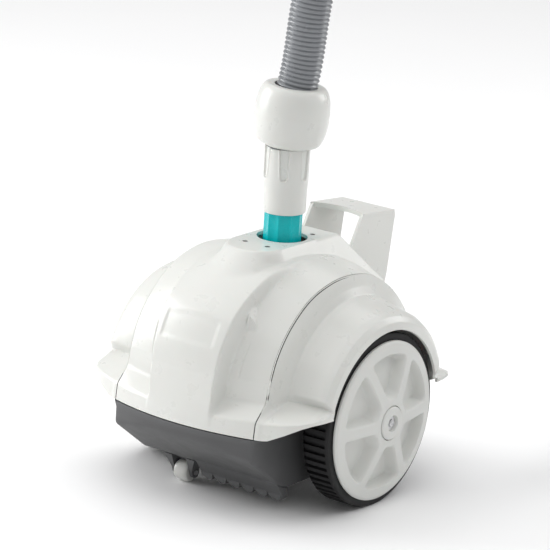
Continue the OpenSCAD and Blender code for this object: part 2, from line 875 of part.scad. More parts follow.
module collar_plate() {
    linear_extrude(height = 4)
        difference() {
            union() {
                circle(r = 36, $fn = fine);
                translate([-24, -54])
                    square([48, 94]);
            }
            circle(r = 26.5, $fn = fine);
        }
}
module swivel_collar() {
    color(shell_white)
        difference() {
            union() {
                translate([0, 0, 228])
                    collar_plate();
                tube_z(231, 247, 29.5, 21.6);
                for (p = boss_screw_xy)
                    translate([p[0], p[1], 230])
                        cylinder(h = boss_z - boss_wall - 230, r = 4, $fn = 32);
            }
            translate([0, 0, 220])
                cylinder(h = 23.4, r = 26.5, $fn = fine);
            for (p = boss_screw_xy)
                translate([p[0], p[1], boss_z - 22])
                    cylinder(h = 30, r = screw_r + run_fit, $fn = 32);
        }
}
module swivel_seal() {
    color("dimgray")
        tube_z(duct_top_z + tiny, duct_top_z + 3.4, flange_r, 22);
}
module swivel_tube() {
    color(teal) {
        tube_z(238.8, 331, swivel_r, 18.2);
        tube_z(238.8, 243, flange_r, 20);
    }
}
module hose_connector() {
    slot_count = 6;
    color(shell_white)
        difference() {
            rotate_extrude($fn = fine)
                polygon([
                    [swivel_r + 0.1, connector_z], [24, connector_z], [24, 327], [24.8, 330], [24.8, connector_top],
                    [hose_od / 2 + gap, connector_top], [hose_od / 2 + gap, hose_start_z], [18.2, hose_start_z],
                    [18.2, 333], [swivel_r + 0.1, 333]
                ]);
            for (i = [0 : slot_count - 1])
                rotate([0, 0, i * 360 / slot_count])
                    translate([24.8, 0, 336])
                        rotate([90, 0, 90])
                            linear_extrude(height = 2, center = true) {
                                translate([-5, 5])
                                    square([10, 38]);
                                translate([0, 5])
                                    circle(r = 5, $fn = 32);
                            }
        }
}
module connector_seal() {
    color("dimgray")
        tube_z(331 + tiny, 333, swivel_r, 18.4);
}
// Barrel shaped float, leaning with the hose that it sits on
float_end_r = 30;
float_half = 32.5;
// Shares of the route where the float starts and where it points
float_start = 0.0272;
float_aim = 0.056;
module hose_float() {
    base = along(HOSE_ROUTE, float_start);
    d = along(HOSE_ROUTE, float_aim) - base;
    bore = hose_od / 2 + 2;
    color(shell_white)
        translate(base)
            rotate([0, acos(d[2] / norm(d)), atan2(d[1], d[0])])
                rotate_extrude($fn = fine)
                    polygon(concat(
                        [[bore, 0]],
                        [for (a = [-90 : 15 : 90])
                            [float_end_r + (float_r - float_end_r) * cos(a), float_half * (1 + sin(a))]],
                        [[bore, 2 * float_half]]
                    ));
}

// ---------- hose ----------

hose_rings = 36;
hose_sides = 12;
// Directions of the arch and of the end on the floor, in plan
arch_dir = [0.81, 0.58, 0];
floor_dir = [-0.58, 0.81, 0];
function ring_frame(u) =
    let (
        e = 0.001,
        d = along(HOSE_ROUTE, min(1, u + e)) - along(HOSE_ROUTE, max(0, u - e)),
        z = d / norm(d),
        w = ramp((u - 0.6) / 0.1),
        across = cross((1 - w) * floor_dir + w * arch_dir, z),
        x = across / norm(across)
    )
    [x, cross(z, x)];
function ring_points(u, r) =
    let (c = along(HOSE_ROUTE, u), f = ring_frame(u))
    [for (k = [0 : hose_sides - 1])
        let (a = 360 * k / hose_sides)
        c + r * cos(a) * f[0] + r * sin(a) * f[1]];
module hose() {
    n = hose_rings + 1;
    s = hose_sides;
    points = concat(
        [for (i = [0 : hose_rings]) each ring_points(i / hose_rings, hose_od / 2)],
        [for (i = [0 : hose_rings]) each ring_points(i / hose_rings, hose_bore / 2)]
    );
    wall_faces = [
        for (layer = [0, 1], i = [0 : hose_rings - 1], k = [0 : s - 1], half = [0, 1])
            let (
                a = layer * n * s + i * s + k, b = layer * n * s + i * s + (k + 1) % s,
                f = half == 0 ? [a, a + s, b] : [b, a + s, b + s]
            )
            layer == 0 ? f : [f[2], f[1], f[0]]
    ];
    end_faces = [
        for (end = [0, 1], k = [0 : s - 1], half = [0, 1])
            let (
                a = end * hose_rings * s + k, b = end * hose_rings * s + (k + 1) % s,
                f = half == 0 ? [a, b, a + n * s] : [b, b + n * s, a + n * s]
            )
            end == 0 ? f : [f[2], f[1], f[0]]
    ];
    color(hose_grey)
        polyhedron(points = points, faces = concat(wall_faces, end_faces));
}
module hose_cuff() {
    tip = HOSE_ROUTE[len(HOSE_ROUTE) - 1];
    d = tip - HOSE_ROUTE[len(HOSE_ROUTE) - 2];
    color(dark_grey)
        translate(tip)
            rotate([0, 0, atan2(d[1], d[0])])
                rotate([0, 90, 0])
                    rotate_extrude($fn = fine)
                        polygon([
                            [hose_od / 2 + gap, -28], [25, -28], [25, -4], [24, 0], [24, 36], [25, 38], [25, 42],
                            [hose_bore / 2, 42], [hose_bore / 2, 0], [hose_od / 2 + gap, 0]
                        ]);
}

lower_chassis();
intake_throat();
intake_comb();
roller_bracket();
roller_pin();
front_roller();
centre_cover();
left_fender();
right_fender();
rear_handle();
cover_screws();
fender_screws();
turbine_housing_lower();
turbine_housing_upper();
housing_screws();
outlet_duct();
turbine_rotor();
turbine_shaft();
gearbox_case();
gearbox_cover();
gearbox_screws();
layshaft_gear();
layshaft_pin();
axle_gear();
drive_axle();
axle_bushes();
left_wheel();
right_wheel();
left_tyre();
right_tyre();
hub_caps();
hub_screws();
ballast_weight();
buoyancy_foam();
swivel_collar();
swivel_seal();
swivel_tube();
hose_connector();
connector_seal();
hose_float();
hose();
hose_cuff();
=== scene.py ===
"""Looks of the pool cleaner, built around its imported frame.

Lengths are in millimetres until a mesh is made.
"""

import math

import bmesh
import bpy
import numpy as np
from mathutils import Matrix, Vector


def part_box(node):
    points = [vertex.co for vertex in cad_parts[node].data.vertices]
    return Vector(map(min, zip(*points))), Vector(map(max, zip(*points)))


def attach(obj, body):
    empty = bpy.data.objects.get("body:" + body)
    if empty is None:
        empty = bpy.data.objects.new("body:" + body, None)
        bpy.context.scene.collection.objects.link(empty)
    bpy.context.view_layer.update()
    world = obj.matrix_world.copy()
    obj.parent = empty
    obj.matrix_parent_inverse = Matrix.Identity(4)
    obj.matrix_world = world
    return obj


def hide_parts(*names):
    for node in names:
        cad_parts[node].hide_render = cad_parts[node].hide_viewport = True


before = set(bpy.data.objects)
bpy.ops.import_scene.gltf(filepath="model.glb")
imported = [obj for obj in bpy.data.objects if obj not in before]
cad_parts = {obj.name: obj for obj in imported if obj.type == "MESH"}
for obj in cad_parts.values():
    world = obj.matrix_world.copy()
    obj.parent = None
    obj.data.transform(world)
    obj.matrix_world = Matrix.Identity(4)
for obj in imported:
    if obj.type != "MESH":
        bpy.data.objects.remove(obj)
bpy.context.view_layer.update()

MM = 0.001


def node_box(node):
    low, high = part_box(node)
    return np.array(low) / MM, np.array(high) / MM


# ---------- driving dimensions, from the frame ----------

tyre_low, tyre_high = node_box("right_tyre")
chassis_low, chassis_high = node_box("lower_chassis")
cover_low, cover_high = node_box("centre_cover")
wheel_low, wheel_high = node_box("right_wheel")
cap_low, cap_high = node_box("hub_caps")
AXLE_Y = (tyre_low[1] + tyre_high[1]) / 2
AXLE_Z = (tyre_low[2] + tyre_high[2]) / 2
WHEEL_R = (tyre_high[2] - tyre_low[2]) / 2
TYRE_IN = tyre_low[0]
TYRE_OUT = tyre_high[0]
DISC_R = (wheel_high[2] - wheel_low[2]) / 2
HUB_FACE = cap_high[0]
SPLIT_Z = cover_low[2]
BOSS_Z = cover_high[2]
CHASSIS_Z = chassis_low[2]
SEAM_X = 93.5
SEAM_GAP = 1.3
WALL = 3.0
OUTLET_R = 28.0
HOSE_OD = 45.0
HOSE_BORE = 38.0

# The hose's route in metres, the same points as in the part's own source
HOSE_ROUTE = [
    (0, 0, 0.3412), (0.0005, 0.0004, 0.400), (0.008, 0.006, 0.466), (0.013, 0.009, 0.531),
    (0.021, 0.015, 0.594), (0.041, 0.030, 0.652), (0.076, 0.054, 0.700), (0.120, 0.086, 0.730),
    (0.171, 0.123, 0.740),
    (0.222, 0.159, 0.730), (0.268, 0.192, 0.699), (0.303, 0.217, 0.653), (0.324, 0.232, 0.594),
    (0.330, 0.236, 0.531), (0.330, 0.236, 0.467), (0.330, 0.236, 0.403), (0.330, 0.236, 0.340),
    (0.330, 0.236, 0.276), (0.329, 0.238, 0.212), (0.319, 0.251, 0.150), (0.300, 0.278, 0.096),
    (0.271, 0.318, 0.055), (0.237, 0.366, 0.032), (0.200, 0.417, 0.025), (0.163, 0.469, 0.025),
]


# ---------- camera ----------

def add_camera():
    """A long lens from the front right and slightly above."""
    target = Vector((-0.0157, 0.0132, 0.2218))
    distance = 3.58
    yaw, pitch, roll = (math.radians(a) for a in (35.6, 15.82, 3.58))
    back = Vector((math.sin(yaw) * math.cos(pitch), -math.cos(yaw) * math.cos(pitch), math.sin(pitch)))
    right = Vector((math.cos(yaw), math.sin(yaw), 0))
    up = back.cross(right)
    rolled_right = math.cos(roll) * right + math.sin(roll) * up
    rolled_up = math.cos(roll) * up - math.sin(roll) * right
    data = bpy.data.cameras.new("camera")
    data.sensor_width = 36
    data.lens = 212.6
    data.clip_end = 50
    camera = bpy.data.objects.new("camera", data)
    bpy.context.scene.collection.objects.link(camera)
    turn = Matrix((rolled_right, rolled_up, back)).transposed().to_4x4()
    camera.matrix_world = Matrix.Translation(target + distance * back) @ turn
    bpy.context.scene.camera = camera


# ---------- curves and outlines ----------

def catmull(table, s):
    """Point of a smooth curve through the rows of table, at station s."""
    last = len(table) - 1
    k = min(int(s), last - 1)
    t = s - k
    a, b, c, d = (table[min(max(k + i, 0), last)] for i in (-1, 0, 1, 2))
    return (2 * b + (c - a) * t + (2 * a - 5 * b + 4 * c - d) * t**2 + (3 * b - a - 3 * c + d) * t**3) / 2


def corner_curve(a, corner, b, t):
    return a * (1 - t) ** 2 + 2 * corner * t * (1 - t) + b * t**2


def rounded(points, radius, steps=4, closed=True):
    """The outline with its corners rounded. radius is one number, or one for each corner."""
    points = [np.array(p, float) for p in points]
    count = len(points)
    radii = radius if hasattr(radius, "__len__") else [radius] * count
    out = []
    for i, p in enumerate(points):
        if radii[i] == 0 or (not closed and i in (0, count - 1)):
            out.append(p)
            continue
        to_last = points[i - 1] - p
        to_next = points[(i + 1) % count] - p
        cut = min(radii[i], 0.45 * np.linalg.norm(to_last), 0.45 * np.linalg.norm(to_next))
        start = p + to_last / np.linalg.norm(to_last) * cut
        end = p + to_next / np.linalg.norm(to_next) * cut
        out += [corner_curve(start, p, end, k / steps) for k in range(steps + 1)]
    return out


def ramp(t):
    """Smooth step from 0 to 1 as t goes from 0 to 1."""
    t = np.clip(t, 0, 1)
    return t * t * (3 - 2 * t)


def smooth_max(a, b, soft):
    """The larger of two heights, with a fillet where they cross."""
    h = np.clip(0.5 + 0.5 * (a - b) / soft, 0, 1)
    return b + (a - b) * h + soft * h * (1 - h)


def smooth_min(a, b, soft):
    return -smooth_max(-a, -b, soft)


def spaced(*stretches):
    """Values along stretches given as (start, end, step), without repeats."""
    out = []
    for start, end, step in stretches:
        count = max(1, round(abs(end - start) / step))
        out += [start + (end - start) * i / count for i in range(count)]
    return out + [stretches[-1][1]]


# ---------- meshes ----------

def add_mesh(name, points, faces, sharp=35):
    """A mesh object from points in millimetres, with its normals outwards and its shading smooth."""
    mesh = bpy.data.meshes.new(name)
    mesh.from_pydata([tuple(float(c) * MM for c in p) for p in points], [], faces)
    work = bmesh.new()
    work.from_mesh(mesh)
    bmesh.ops.remove_doubles(work, verts=work.verts, dist=1e-6)
    bmesh.ops.recalc_face_normals(work, faces=work.faces)
    work.to_mesh(mesh)
    work.free()
    mesh.shade_smooth()
    mesh.set_sharp_from_angle(angle=math.radians(sharp))
    obj = bpy.data.objects.new(name, mesh)
    bpy.context.scene.collection.objects.link(obj)
    return obj


def grid(rows, wrap_rows=False, wrap_cols=False):
    """Points and faces of a grid of points, given row by row."""
    n, m = len(rows), len(rows[0])
    points = [p for row in rows for p in row]
    faces = []
    for i in range(n if wrap_rows else n - 1):
        for j in range(m if wrap_cols else m - 1):
            i2, j2 = (i + 1) % n, (j + 1) % m
            faces.append((i * m + j, i2 * m + j, i2 * m + j2, i * m + j2))
    return points, faces


def lathe(profile, axis, centre, steps=96, shape=None):
    """Points and faces of a closed profile of (radius, height) turned about X or Z.

    shape(r, h, angle) may change r and h.
    """
    rows = []
    for k in range(steps):
        angle = 2 * math.pi * k / steps
        row = []
        for r, h in profile:
            if shape:
                r, h = shape(r, h, angle)
            across, along = r * math.cos(angle), r * math.sin(angle)
            if axis == "x":
                row.append((h, centre[0] + across, centre[1] + along))
            else:
                row.append((centre[0] + across, centre[1] + along, h))
        rows.append(row)
    return grid(rows, wrap_rows=True, wrap_cols=True)


def mirrored(points):
    return [(-p[0], p[1], p[2]) for p in points]


def extruded(outline, axis, low, high):
    """Closed prism of an outline of 2-D points, extruded along X or Z."""
    n = len(outline)
    if axis == "x":
        points = [(h, p[0], p[1]) for h in (low, high) for p in outline]
    else:
        points = [(p[0], p[1], h) for h in (low, high) for p in outline]
    faces = [tuple(range(n)), tuple(range(2 * n - 1, n - 1, -1))]
    faces += [(i, (i + 1) % n, n + (i + 1) % n, n + i) for i in range(n)]
    return points, faces


def add_modifier(obj, kind, **settings):
    modifier = obj.modifiers.new(kind.lower(), kind)
    for key, value in settings.items():
        setattr(modifier, key, value)
    return modifier


def apply_modifiers(obj):
    """Keeps the modified shape as the object's own mesh."""
    bpy.context.view_layer.update()
    shape = obj.evaluated_get(bpy.context.evaluated_depsgraph_get())
    mesh = bpy.data.meshes.new_from_object(shape)
    obj.modifiers.clear()
    obj.data = mesh


def combine(obj, others, operation):
    """Boolean of obj with the other objects, which are used up."""
    for other in others:
        add_modifier(obj, "BOOLEAN", operation=operation, object=other, solver="EXACT")
        apply_modifiers(obj)
        bpy.data.objects.remove(other)


def bevel(obj, width, segments=3, angle=40):
    add_modifier(obj, "BEVEL", width=width * MM, segments=segments, limit_method="ANGLE",
                 angle_limit=math.radians(angle), harden_normals=True)


def finish_piece(obj, material, body, slot, *nodes):
    """Material, body, finish slot (not used) and the CAD nodes that the piece stands for."""
    obj.data.materials.clear()
    obj.data.materials.append(material)
    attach(obj, body)
    if nodes:
        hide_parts(*nodes)
    return obj


# ---------- materials ----------

class Shader:
    """Short names for building a node material on a Principled shader."""

    def __init__(self, name, **settings):
        self.material = bpy.data.materials.new(name)
        self.material.use_nodes = True
        self.tree = self.material.node_tree
        self.surface = self.tree.nodes["Principled BSDF"]
        self.coords = self.tree.nodes.new("ShaderNodeTexCoord").outputs["Object"]
        for socket, value in settings.items():
            self.surface.inputs[socket.replace("_", " ")].default_value = value

    def link(self, source, target):
        self.tree.links.new(source, target)

    def node(self, kind, **inputs):
        made = self.tree.nodes.new("ShaderNode" + kind)
        for name, value in inputs.items():
            socket = made.inputs[name.replace("_", " ")]
            if hasattr(value, "is_output"):
                self.link(value, socket)
            else:
                socket.default_value = value
        return made

    def stretched(self, scale):
        return self.node("Mapping", Vector=self.coords, Scale=scale).outputs["Vector"]

    def noise(self, size, detail=3.0, roughness=0.55, coords=None):
        """Noise whose features are about size millimetres across."""
        made = self.node("TexNoise", Vector=coords or self.coords, Scale=1 / (size * MM), Detail=detail,
                         Roughness=roughness)
        return made.outputs["Fac"]

    def remap(self, value, low, high, to_low, to_high):
        made = self.node("MapRange", Value=value, From_Min=low, From_Max=high, To_Min=to_low, To_Max=to_high)
        return made.outputs["Result"]

    def mix(self, share, first, second):
        made = self.tree.nodes.new("ShaderNodeMix")
        made.data_type = "RGBA"
        for socket, value in (("Factor_Float", share), ("A_Color", first), ("B_Color", second)):
            target = next(s for s in made.inputs if s.identifier == socket)
            if hasattr(value, "is_output"):
                self.link(value, target)
            else:
                target.default_value = value
        return next(s for s in made.outputs if s.identifier == "Result_Color")

    def worn_edges(self, start=0.53, end=0.6):
        """1 on the convex edges of the mesh and 0 elsewhere."""
        pointed = self.node("NewGeometry").outputs["Pointiness"]
        return self.remap(pointed, start, end, 0.0, 1.0)

    def bump(self, height, depth, below=None):
        """Bump of that depth in millimetres, on top of another bump."""
        made = self.node("Bump", Height=height, Distance=depth * MM, Strength=1.0)
        if below:
            self.link(below, made.inputs["Normal"])
        return made.outputs["Normal"]


def shade(colour, factor):
    return tuple(min(1.0, c * factor) for c in colour[:3]) + (1.0,)


def moulded(name, colour, roughness, grain, depth, mottle, wear, coat=0.0, scatter=0.0, shine=0.5):
    """Moulded plastic or rubber: fine surface grain, slight flow marks and polished or worn edges."""
    s = Shader(name, Coat_Weight=coat, Coat_Roughness=0.12, Subsurface_Weight=scatter, Subsurface_Scale=0.004,
               Specular_IOR_Level=shine)
    flow = s.noise(45, 2)
    tone = s.mix(s.remap(flow, 0.3, 0.7, 0, 1), shade(colour, 1 - mottle), shade(colour, 1 + mottle))
    tone = s.mix(s.worn_edges(), tone, shade(colour, wear))
    s.link(tone, s.surface.inputs["Base Color"])
    rough = s.remap(s.noise(18, 4), 0.3, 0.7, roughness - 0.04, roughness + 0.05)
    s.link(rough, s.surface.inputs["Roughness"])
    waves = s.bump(s.noise(14, 1), depth * 2.5)
    s.link(s.bump(s.noise(grain, 3), depth, waves), s.surface.inputs["Normal"])
    return s.material


def metal(name, colour, roughness, stretch=(1, 1, 1)):
    """Turned or drawn metal with fine scratches along one direction."""
    s = Shader(name, Metallic=1.0)
    lines = s.noise(0.6, 5, 0.7, s.stretched(stretch))
    s.link(s.mix(s.noise(6, 3), shade(colour, 0.9), shade(colour, 1.08)), s.surface.inputs["Base Color"])
    s.link(s.remap(lines, 0.3, 0.7, roughness - 0.08, roughness + 0.1), s.surface.inputs["Roughness"])
    s.link(s.bump(lines, 0.01), s.surface.inputs["Normal"])
    return s.material


def cast_iron(name, colour):
    """Coated casting with a coarse sand surface."""
    s = Shader(name)
    coarse = s.noise(1.6, 6, 0.7)
    tone = s.mix(s.worn_edges(0.52, 0.57), shade(colour, 1.0), shade(colour, 2.2))
    s.link(tone, s.surface.inputs["Base Color"])
    s.link(s.remap(coarse, 0.3, 0.7, 0.5, 0.7), s.surface.inputs["Roughness"])
    s.link(s.bump(coarse, 0.25), s.surface.inputs["Normal"])
    return s.material


def cell_foam(name, colour):
    """Closed cell foam: small domed cells with darker walls."""
    s = Shader(name, Subsurface_Weight=0.1, Subsurface_Scale=0.003)
    cells = s.node("TexVoronoi", Vector=s.coords, Scale=1 / (1.4 * MM)).outputs["Distance"]
    s.link(s.mix(cells, shade(colour, 1.02), shade(colour, 0.8)), s.surface.inputs["Base Color"])
    s.link(s.remap(cells, 0, 1, 0.75, 0.9), s.surface.inputs["Roughness"])
    s.link(s.bump(cells, 0.2), s.surface.inputs["Normal"])
    return s.material


def make_materials():
    white = (0.69, 0.695, 0.665, 1)
    return {
        "shell": moulded("shell_white", white, 0.30, 1.1, 0.006, 0.006, 1.02, coat=0.2, scatter=0.03),
        "wheel": moulded("wheel_white", (0.66, 0.665, 0.64, 1), 0.38, 0.9, 0.012, 0.010, 1.02,
                         scatter=0.03),
        "chassis": moulded("chassis_grey", (0.075, 0.076, 0.078, 1), 0.46, 0.55, 0.045, 0.06, 1.35),
        "tyre": moulded("tyre_rubber", (0.007, 0.007, 0.0075, 1), 0.55, 0.8, 0.05, 0.15, 1.9,
                        shine=0.3),
        "teal": moulded("teal_plastic", (0.0, 0.50, 0.53, 1), 0.26, 1.0, 0.01, 0.03, 1.1,
                        coat=0.3, shine=0.12),
        "hose": moulded("hose_grey", (0.22, 0.23, 0.245, 1), 0.24, 0.9, 0.015, 0.05, 1.12, coat=0.4),
        "cuff": moulded("cuff_black", (0.03, 0.03, 0.033, 1), 0.48, 0.6, 0.03, 0.1, 1.7),
        "nylon": moulded("natural_nylon", (0.66, 0.66, 0.60, 1), 0.42, 0.7, 0.02, 0.03, 1.04,
                         scatter=0.08),
        # Dark rubber of the seals, also used as painted shadow in the seam strips
        "seal": moulded("seal_rubber_and_seam_shadow", (0.02, 0.02, 0.021, 1), 0.6, 0.5, 0.03, 0.12, 1.5),
        "steel": metal("stainless_steel", (0.60, 0.60, 0.61, 1), 0.3, (0.15, 1, 1)),
        "dark steel": metal("dark_steel", (0.14, 0.14, 0.145, 1), 0.4),
        "weight": cast_iron("coated_iron", (0.035, 0.035, 0.038, 1)),
        "foam": cell_foam("closed_cell_foam", (0.78, 0.76, 0.70, 1)),
    }


# ---------- cover ----------

# Side profile of the shell at the seam, from the front edge over the top to the rear edge, as (Y, Z)
SEAM_PROFILE = np.array([
    (-160, 98.2), (-158, 116), (-142, 133), (-138, 153), (-127, 182), (-106, 210), (-74, 234), (-36, 246),
    (0, 248), (38, 241), (75, 222), (104, 196), (126, 164), (140, 133), (158, 116), (160, 98.2)], float)
# How far each station stands out at the middle of the body
CROWN = np.array([
    (-15, 0), (-14, -2), (-9, -4), (-11, 0), (-15, 2), (-16, 6), (-10, 12), (-3, 14),
    (0, 14), (4, 13), (10, 12), (14, 10), (12, 6), (9, 0), (15, 0), (15, 0)], float)
# How far the raised middle panel stands in front of that
NOSE_FRONT = [(0, 0), (-1, 1), (-20, 2), (-20, 3), (-19, 5), (-17, 9), (-9, 8), (-2, 3)]
NOSE = np.array(NOSE_FRONT + [(0, 0)] * (len(SEAM_PROFILE) - len(NOSE_FRONT)), float)
DOME_START = 3
DOME_END = 12
LAST_STATION = len(SEAM_PROFILE) - 1


def follow(table, s, soft=0.16):
    """Row of the table at station s: smooth over the dome, straight with rounded corners elsewhere."""
    if DOME_START <= s <= DOME_END:
        return catmull(table, s)
    near = round(s)
    if 0 < near < LAST_STATION and abs(s - near) < soft:
        a = table[near] + (table[near - 1] - table[near]) * soft
        b = table[near] + (table[near + 1] - table[near]) * soft
        return corner_curve(a, table[near], b, (s - near + soft) / (2 * soft))
    k = min(int(s), LAST_STATION - 1)
    return table[k] + (table[k + 1] - table[k]) * (s - k)


def nose_share(s, x):
    """1 on the raised panel, 0 beside it, over a side wall that widens upwards."""
    crease = 40 + 0.2 * min(s, 6) ** 2
    wall = 5 + 4 * math.exp(-(((s - 4.45) / 0.8) ** 2))
    return 1 - ramp((abs(x) - crease) / wall)


def pad_depth(s, x):
    """The shallow panel set into the nose."""
    across = ramp((36 - abs(x + 2)) / 2.5)
    top = 4.72 - 0.10 * ((x + 2) / 36) ** 2
    up = ramp((top - s) / 0.07) * ramp((s - 3.86) / 0.12)
    return 0.8 * across * up


def slit_depth(s, x):
    """A fine groove beside the nose, on both sides."""
    middle = 57.5 + 3.5 * (s - 3.1) / 1.2
    fade = ramp((s - 3.05) / 0.1) * ramp((4.35 - s) / 0.25)
    return 1.0 * fade * math.exp(-(((abs(x) - middle) / 0.9) ** 2))


# The flat top of the boss in plan: round in front and square behind
BOSS_FRONT_Y = -45
BOSS_REAR_Y = 57
BOSS_FRONT_R = 33.5
BOSS_REAR_HALF = 35


def boss_height(x, y):
    """Height of the boss: flat on top, a long slope in front and steeper ones at the sides and behind."""
    share = np.clip((y - BOSS_FRONT_Y) / (BOSS_REAR_Y - BOSS_FRONT_Y), 0, 1)
    ahead = max(0.0, BOSS_FRONT_Y - y)
    outside = math.hypot(x, ahead) - (BOSS_FRONT_R + (BOSS_REAR_HALF - BOSS_FRONT_R) * share)
    turned = math.degrees(math.atan2(abs(x), ahead))
    slope = 0.88 + 0.9 * ramp((turned - 34) / 22)
    height = smooth_min(BOSS_Z, BOSS_Z - slope * outside, 0.6)
    return smooth_min(height, BOSS_Z - 1.1 * (y - BOSS_REAR_Y), 2.5)


def cover_point(s, x):
    """Point of the cover at station s and offset x."""
    crown = 1 - (x / SEAM_X) ** 2
    y, z = follow(SEAM_PROFILE, s) + crown * follow(CROWN, s) + nose_share(s, x) * follow(NOSE, s)
    sunk = pad_depth(s, x) + slit_depth(s, x)
    y, z = y + 0.8 * sunk, z - 0.6 * sunk
    if -125 < y < 112 and z > 205:
        z = smooth_max(z, boss_height(x, y), 1.8)
    return x, y, z


def shell_grid(name, rows):
    """Moulding with an even wall behind a grid of outer points."""
    obj = add_mesh(name, *grid(rows), sharp=60)
    add_modifier(obj, "SOLIDIFY", thickness=WALL * MM, offset=-1, use_even_offset=False)
    return obj


def face_up(obj):
    """Turns the faces of an open shell so that its top faces upwards."""
    mesh = obj.data
    top = max(mesh.polygons, key=lambda face: face.center.z)
    if top.normal.z < 0:
        mesh.flip_normals()


def cylinder_object(centre, low, high, radius, steps=64):
    outline = [(centre[0] + radius * math.cos(2 * math.pi * k / steps),
                centre[1] + radius * math.sin(2 * math.pi * k / steps)) for k in range(steps)]
    return add_mesh("cutter", *extruded(outline, "z", low, high))


BOSS_SCREWS = [(-15, -47), (15, -47), (-18, 32), (18, 32)]
SCREW_RECESS_R = 3.2
SCREW_RECESS_DEPTH = 1.6


def make_cover(materials):
    half = spaced((0, 36, 2.4), (36, 66, 1.0), (66, 90, 3.0), (90, SEAM_X - SEAM_GAP / 2, 1.2))
    columns = [-x for x in reversed(half[1:])] + half
    stations = spaced((0, 3.2, 0.06), (3.2, 5, 0.07), (5, 10, 0.05), (10, LAST_STATION, 0.09))
    cover = shell_grid("centre_cover_shell", [[cover_point(s, x) for x in columns] for s in stations])
    face_up(cover)
    apply_modifiers(cover)
    cutters = [cylinder_object((0, 0), BOSS_Z - 20, BOSS_Z + 5, OUTLET_R, 128)]
    for place in BOSS_SCREWS:
        cutters.append(cylinder_object(place, BOSS_Z - SCREW_RECESS_DEPTH, BOSS_Z + 5, SCREW_RECESS_R, 32))
    combine(cover, cutters, "DIFFERENCE")
    cover.data.shade_smooth()
    cover.data.set_sharp_from_angle(angle=math.radians(50))
    finish_piece(cover, materials["shell"], "chassis", "shell", "centre_cover")
    rim = rounded([(OUTLET_R - 0.1, BOSS_Z - 4), (OUTLET_R - 0.1, BOSS_Z + 0.2),
                   (OUTLET_R + 0.9, BOSS_Z + 0.2), (OUTLET_R + 1.2, BOSS_Z - 1)], 0.4, 4)
    ring = add_mesh("outlet_rim", *lathe(rim, "z", (0, 0), 128))
    finish_piece(ring, materials["shell"], "chassis", "shell")


# ---------- fenders ----------

# Section over the wheel, as (X, radius about the axle at the ledge, radius at the top)
FENDER_SECTION = [
    (SEAM_X + SEAM_GAP / 2, 0, 0), (98, 125, 138), (102, 117.5, 128.5), (108, 116.5, 126),
    (124, 116.5, 123), (140, 116, 119), (146.5, 113, 115), (150.5, 107, 109), (152, 101, 101)]
# Skirt in front of the wheel at each section point, as (Y, Z): bottom edge, outer edge and inner corner
SKIRT_BOTTOM = [
    (-160, 98.2), (-159, 98.2), (-157, 98.2), (-155, 99), (-149, 107), (-139, 116), (-128, 118.5),
    (-114, 119), (-98, 119)]
SKIRT_EDGE = [
    (-158, 116), (-157, 116.5), (-155, 117), (-153, 117.5), (-147, 119), (-137, 121), (-127, 122),
    (-113, 122.5), (-98.5, 122)]
SKIRT_CORNER = [
    (-142, 133), (-128, 133), (-114, 132.5), (-111, 132.5), (-107, 132), (-103, 131.5), (-101, 130),
    (-99, 128), (-97.5, 125)]
LEDGE_STATION = 2
# How much further out the fender stands behind the axle
REAR_SWELL = 4.5


def turn_about_axle(y, z):
    return math.atan2(z - AXLE_Z, y - AXLE_Y)


def blend_column(table, c):
    """Row of a table of section points at a fractional column."""
    table = np.array(table, float)
    k = min(int(c), len(table) - 2)
    return table[k] + (table[k + 1] - table[k]) * (c - k)


def skirt_point(c, end, level):
    """level runs from 0 at the bottom edge to 1 at the outer edge and 2 at the inner corner."""
    bottom, edge, corner = (blend_column(t, c) for t in (SKIRT_BOTTOM, SKIRT_EDGE, SKIRT_CORNER))
    soft = 0.16
    if abs(level - 1) < soft:
        a = edge + (bottom - edge) * soft
        b = edge + (corner - edge) * soft
        y, z = corner_curve(a, edge, b, (level - 1 + soft) / (2 * soft))
    elif level < 1:
        y, z = bottom + (edge - bottom) * level
    else:
        y, z = edge + (corner - edge) * (level - 1)
    return end * y, z


def arch_point(c, w):
    """Point of the fender above the skirts: w runs from 0 at the front ledge to 1 at the rear one."""
    seam = catmull(SEAM_PROFILE, LEDGE_STATION + w * (LAST_STATION - 2 * LEDGE_STATION))
    corner = blend_column(SKIRT_CORNER, c)
    front = turn_about_axle(corner[0], corner[1])
    rear = turn_about_axle(-corner[0], corner[1])
    seam_front = turn_about_axle(*SKIRT_CORNER[0])
    seam_rear = turn_about_axle(-SKIRT_CORNER[0][0], SKIRT_CORNER[0][1])
    share = (turn_about_axle(*seam) - seam_front) / (seam_rear - seam_front)
    angle = front + share * (rear - front)
    lift = math.sin(math.pi * share) ** 0.7
    seam_r = math.hypot(seam[0] - AXLE_Y, seam[1] - AXLE_Z)
    low, high = blend_column([(seam_r, seam_r)] + [row[1:] for row in FENDER_SECTION[1:]], c)
    r = low + (high - low) * lift
    if 0 < c < len(FENDER_SECTION) - 1:
        r += REAR_SWELL * ramp(2 * share - 1) * ramp(c) * ramp(len(FENDER_SECTION) - 1 - c)
    foot = math.hypot(corner[0] - AXLE_Y, corner[1] - AXLE_Z)
    near_ledge = max(0.0, 1 - min(share, 1 - share) / 0.03)
    r += (foot - r) * ramp(near_ledge)
    return AXLE_Y + r * math.cos(angle), AXLE_Z + r * math.sin(angle)


def fender_columns():
    """Fractional columns, closer together at the creases, with the X of each."""
    columns = spaced((0, 1, 0.34), (1, 3, 0.12), (3, 5, 0.2), (5, 8, 0.16))
    return [(c, float(blend_column([[row[0]] for row in FENDER_SECTION], c)[0])) for c in columns]


